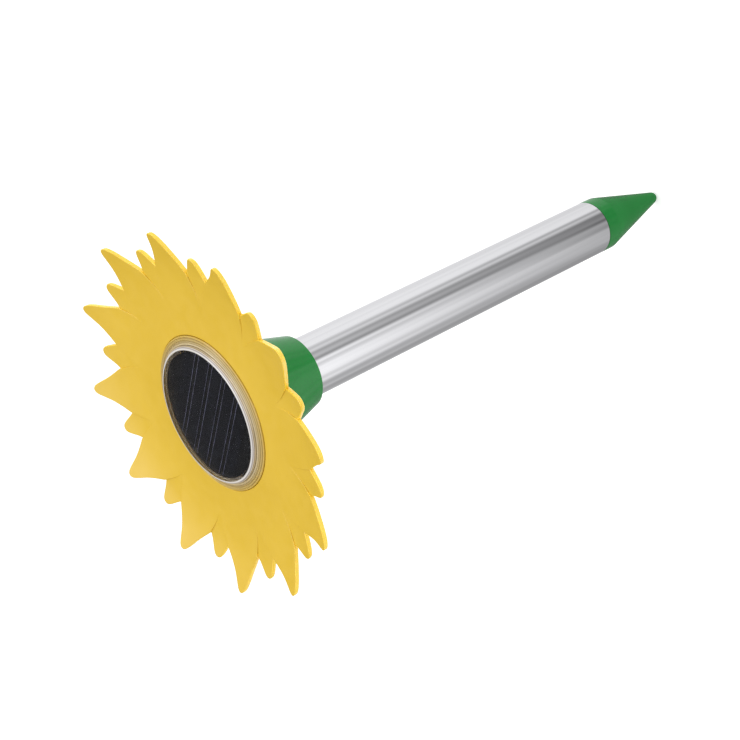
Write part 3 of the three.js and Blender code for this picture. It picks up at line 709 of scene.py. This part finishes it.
head_screw = screw("head_screw", 1.3, 2.8, 1.6, 9, 338.65)
for number, (x, y) in enumerate(corners, 1):
    dress(copied(head_screw, f"flower_screw_{number}", x, y), bright_steel, "head", "bright_steel",
          f"head_screw_{number}")
bpy.data.objects.remove(head_screw)
carrier_screw = screw("small_screw", 1.05, 2.2, 1.1, 8, 333.25)
for number, x in ((1, LUG_REACH), (2, -LUG_REACH)):
    dress(copied(carrier_screw, f"frame_screw_{number}", x, 0), bright_steel, "head", "bright_steel",
          f"carrier_screw_{number}")
bpy.data.objects.remove(carrier_screw)

# ---- Power switch ----
# A push switch inside the cup. Its rubber button stands through the round boss on the cup's far side.

button = turned("rubber_button", [
    (0, 24.6), (1.4, 24.6), (1.4, 24.9), (5, 24.9), (5, 25.8), (4.2, 25.8), (4.2, 33), (3.9, 33.35),
    (3.2, 33.54), (2.4, 33.3), (0, 33.1),
], steps=48, centre=BUTTON_MIDDLE, axis=(0, 1, 0))
soften(button, 0.15, segments=2)
dress(button, black_rubber, "button", "black_rubber", "switch_button")
black_plastic = moulded("black_plastic", (0.012, 0.012, 0.013), (0.022, 0.022, 0.023), 0.42)
switch_body = block("switch_case", (-4, 19.6, 319.5), (4, 23.2, 328.5), 0.3)
dress(switch_body, black_plastic, "head", "black_plastic", "switch_body")

# ---- Carrier ----
# A white moulded frame that hangs from the cup down into the tube. It is open on one side, has a bay
# for the cell and two slotted rails for the circuit board, and ends over the sounder.

white_plastic = moulded("white_plastic", (0.66, 0.65, 0.61), (0.72, 0.71, 0.67), 0.45)
skirt = turned("frame_moulding", [(12.6, 206), (14.1, 206), (14.1, 332), (12.6, 332)], steps=96,
               closed=True)
soften(skirt, 0.2, segments=2)
cut_away(skirt, block("window", (-26, 3.5, 218), (26, 26, 328.7), 0))
flange = turned("flange", [(9, 331.7), (18.1, 331.7), (18.1, 333.2), (9, 333.2)], steps=96, closed=True)
soften(flange, 0.2, segments=2)
bay_floor = turned("bay_floor", [(0, 212), (13, 212), (13, 213.6), (0, 213.6)], steps=96)
bay_roof = turned("bay_roof", [(0, 271.5), (13, 271.5), (13, 273.1), (0, 273.1)], steps=96)
ears = [
    turned("ear", [(1.5, 331.7), (3, 331.7), (3, 333.2), (1.5, 333.2)], steps=32, closed=True,
           centre=(x, 0, 0))
    for x in (-LUG_REACH, LUG_REACH)
]
rails = []
for side in (-1, 1):
    outer, inner = sorted((side * 12.2, side * 9.8))
    rail = block("rail", (outer, -5, 276), (inner, 0.4, 324), 0.2)
    cut_away(rail, block("slot", (-10.8, -3.5, 275), (10.8, -1.3, 325), 0))
    rails.append(rail)
for shelf in (bay_floor, bay_roof, skirt):
    cut_away(shelf, block("wire_slot", (-2.5, -12.8, 200), (2.5, -8.4, 330), 0))
carrier = joined(skirt, flange, bay_floor, bay_roof, *ears, *rails)
bpy.ops.object.shade_smooth_by_angle(angle=math.radians(35))
dress(carrier, white_plastic, "head", "white_plastic", "carrier")

# ---- Battery ----
# One rechargeable cell in a green sleeve, with a nickel cap, between a coil spring and a plate.

sleeve_material = moulded("cell_sleeve", (0.03, 0.2, 0.08), (0.045, 0.26, 0.11), 0.25, grain=0.000005,
                          coat=0.3)
cell = turned("aa_cell", [
    (0, 219), (5.2, 219), (5.4, 219.15), (6.5, 219.05), (7.1, 219.3), (7.15, 219.8), (7.15, 266.8),
    (6.95, 267.3), (6.4, 267.5), (4.2, 267.5), (4, 267.3), (0, 267.3),
], steps=96)
soften(cell, 0.1, segments=2, angle=20)
dress(cell, sleeve_material, "head", "cell_sleeve", "battery_cell")
cell_cap = turned("cell_cap", [(0, 267.55), (2.7, 267.55), (2.7, 268.5), (2.4, 268.9), (0, 268.9)],
                  steps=48)
soften(cell_cap, 0.12, segments=2)
dress(cell_cap, bright_steel, "head", "bright_steel", "battery_cap")
plate = block("contact_plate", (-4, -4, 269.1), (4, 4, 269.6), 0.12)
dress(plate, bright_steel, "head", "bright_steel", "battery_contact")


def wire_piece(name, points, radius, sides=3):
    """A round wire through points in millimetres, drawn as a curve and made a mesh."""
    bpy.ops.object.select_all(action="DESELECT")
    bpy.ops.curve.primitive_bezier_curve_add(location=(0, 0, 0))
    piece = bpy.context.object
    piece.name = piece.data.name = name
    spline = piece.data.splines[0]
    spline.bezier_points.add(len(points) - len(spline.bezier_points))
    for knot, place in zip(spline.bezier_points, points):
        knot.co = Vector(place) * MM
        knot.handle_left_type = knot.handle_right_type = "AUTO"
    piece.data.resolution_u = 6
    piece.data.bevel_depth = radius * MM
    piece.data.bevel_resolution = sides
    piece.data.use_fill_caps = True
    bpy.ops.object.convert(target="MESH")
    bpy.ops.object.mode_set(mode="EDIT")
    close_edit()
    bpy.ops.object.shade_smooth_by_angle(angle=math.radians(50))
    return piece


coil = [
    ((5 - 0.02 * i) * math.cos(i * math.tau / 24), (5 - 0.02 * i) * math.sin(i * math.tau / 24),
     214.3 + 4 * i / 72) for i in range(73)
]
spring = wire_piece("coil_spring", coil, 0.35)
dress(spring, bright_steel, "head", "bright_steel", "battery_spring")

# ---- Circuit board ----
# A green board between the carrier's rails with the timer chip, a capacitor, an inductor and a
# transistor on its open side.

board_material = moulded("solder_mask", (0.006, 0.075, 0.025), (0.012, 0.12, 0.045), 0.3, coat=0.4)
board = block("board_plate", (-10.5, -3.2, 276), (10.5, -1.6, 324), 0.1)
dress(board, board_material, "head", "circuit_board", "circuit_board")
chip = block("chip_case", (-3, -1.55, 299), (3, 0.05, 304), 0.15)
dress(chip, black_plastic, "head", "black_plastic", "timer_chip")
transistor = block("transistor_case", (2.4, -1.55, 287), (6.8, 1.85, 291.5), 0.4)
dress(transistor, black_plastic, "head", "black_plastic", "transistor")
sleeve_black = moulded("capacitor_sleeve", (0.012, 0.013, 0.03), (0.02, 0.022, 0.045), 0.3, grain=0.000005)
capacitor = turned("capacitor_can", [
    (0, -1.55), (2.9, -1.55), (3.1, -1.3), (3.1, -0.9), (2.85, -0.6), (3.1, -0.2), (3.1, 6), (2.8, 6.4),
    (2.4, 6.4), (2.3, 6.25), (0, 6.25),
], steps=48, centre=(-4.5, 0, 313), axis=(0, 1, 0))
soften(capacitor, 0.08, segments=2, angle=20)
dress(capacitor, sleeve_black, "head", "capacitor_sleeve", "capacitor")

copper_wire, tree, copper_shader = shader("copper_wire", (0.6, 0.27, 0.12), 0.3, metallic=1.0)
tree.links.new(tint(tree, noise(tree, 1, stretch=(60, 60, 2500)), (0.42, 0.17, 0.07), (0.75, 0.38, 0.18)),
               copper_shader.inputs["Base Color"])
bump(tree, copper_shader, noise(tree, 1, stretch=(60, 60, 2500)), 0.00003)
turns = []
for layer in range(9):
    turns += [(2.45, -1.0 + 0.45 * layer), (2.58, -0.85 + 0.45 * layer), (2.58, -0.75 + 0.45 * layer)]
inductor = turned("inductor_coil", [
    (0, -1.55), (2.6, -1.55), (2.6, -1.1), *turns, (2.6, 3.1), (2.6, 3.45), (0, 3.45),
], steps=48, centre=(4.6, 0, 311), axis=(0, 1, 0))
bpy.ops.object.shade_smooth_by_angle(angle=math.radians(35))
dress(inductor, copper_wire, "head", "copper_wire", "inductor")

# ---- Sounder ----
# An electromagnetic buzzer under the carrier: a case with a ring magnet, a coil on a steel core, and a
# thin steel diaphragm over a cover with seven round holes.

sounder_case = turned("sounder_case_moulding", [
    (0, 203.9), (12.6, 203.9), (12.6, 195.6), (13.9, 195.6), (13.9, 205.7), (0, 205.7),
], steps=96)
soften(sounder_case, 0.2, segments=2)
dress(sounder_case, black_plastic, "head", "black_plastic", "sounder_case")
ferrite = moulded("ferrite", (0.02, 0.02, 0.021), (0.045, 0.044, 0.043), 0.6, grain=0.00003)
magnet = turned("ring_magnet", [(8.2, 198.5), (11.8, 198.5), (11.8, 203.6), (8.2, 203.6)], steps=96,
                closed=True)
soften(magnet, 0.35, segments=2)
dress(magnet, ferrite, "head", "magnet", "sounder_magnet")
core = turned("steel_core", [(0, 196.2), (2.5, 196.2), (2.5, 203.6), (0, 203.6)], steps=48)
soften(core, 0.2, segments=2)
dress(core, bright_steel, "head", "bright_steel", "sounder_core")
layers = [(7.4 - 0.12 * (i % 2), 197.9 + 0.27 * i) for i in range(19)]
coil_winding = turned("coil_winding", [
    (3, 197.6), (7.3, 197.6), *layers, (7.3, 203.3), (3, 203.3),
], steps=64, closed=True)
bpy.ops.object.shade_smooth_by_angle(angle=math.radians(50))
dress(coil_winding, copper_wire, "head", "copper_wire", "sounder_coil")
cone = turned("steel_diaphragm", [
    (0, 194.02), (12.4, 194.02), (12.4, 194.38), (9, 194.38), (8.7, 194.3), (8.4, 194.38), (0, 194.38),
], steps=96)
bpy.ops.object.shade_smooth_by_angle(angle=math.radians(20))
dress(cone, bright_steel, "sounder_cone", "bright_steel", "diaphragm")
cover = turned("sounder_grille", [
    (0, 190), (13.3, 190), (13.9, 190.6), (13.9, 195.3), (12.8, 195.3), (12.8, 191.6), (0, 191.6),
], steps=96)
soften(cover, 0.2, segments=2)
for hole in range(7):
    reach = 7 if hole else 0
    angle = math.radians(60 * hole)
    place = (reach * math.cos(angle), reach * math.sin(angle), 0)
    cut_away(cover, turned("hole", [(0, 189), (1.5, 189), (1.5, 193), (0, 193)], steps=24, centre=place))
dress(cover, black_plastic, "head", "black_plastic", "sounder_cover")

# ---- Leads ----
# Red and black insulated wires from the panel, the switch and the sounder to the circuit board.

for colour, side, dark, light in (
    ("red", 1, (0.38, 0.01, 0.01), (0.48, 0.018, 0.015)),
    ("black", -1, (0.01, 0.01, 0.011), (0.018, 0.018, 0.019)),
):
    insulation = moulded(f"{colour}_insulation", dark, light, 0.4, grain=0.000005)
    runs = {
        "panel_lead": [(2.5, 0, 341.1), (2.6, 0.4, 337), (3, 2, 331), (4.5, 2.6, 326), (7.5, 0.6, 321.5),
                       (8, -0.7, 318.5)],
        "sounder_lead": [(1.1, -4.2, 279), (1.1, -7, 277), (1.1, -10.3, 273), (1.1, -10.6, 262),
                         (1.1, -10.6, 225), (1.1, -10.4, 212), (1.1, -9.6, 206.1)],
        "switch_lead": [(2, 21.5, 329.2), (2, 21, 332), (2, 18.4, 334.6), (1.8, 12, 334.8),
                        (1.4, 7.4, 334.4), (1.1, 5, 330), (1, 1, 323), (1, -1, 321)],
    }
    for run, points in runs.items():
        lead = wire_piece(f"{run}_{colour}_wire", [(side * x, y, z) for x, y, z in points], 0.55)
        dress(lead, insulation, "head", f"{colour}_wire", f"{run}_{colour}")
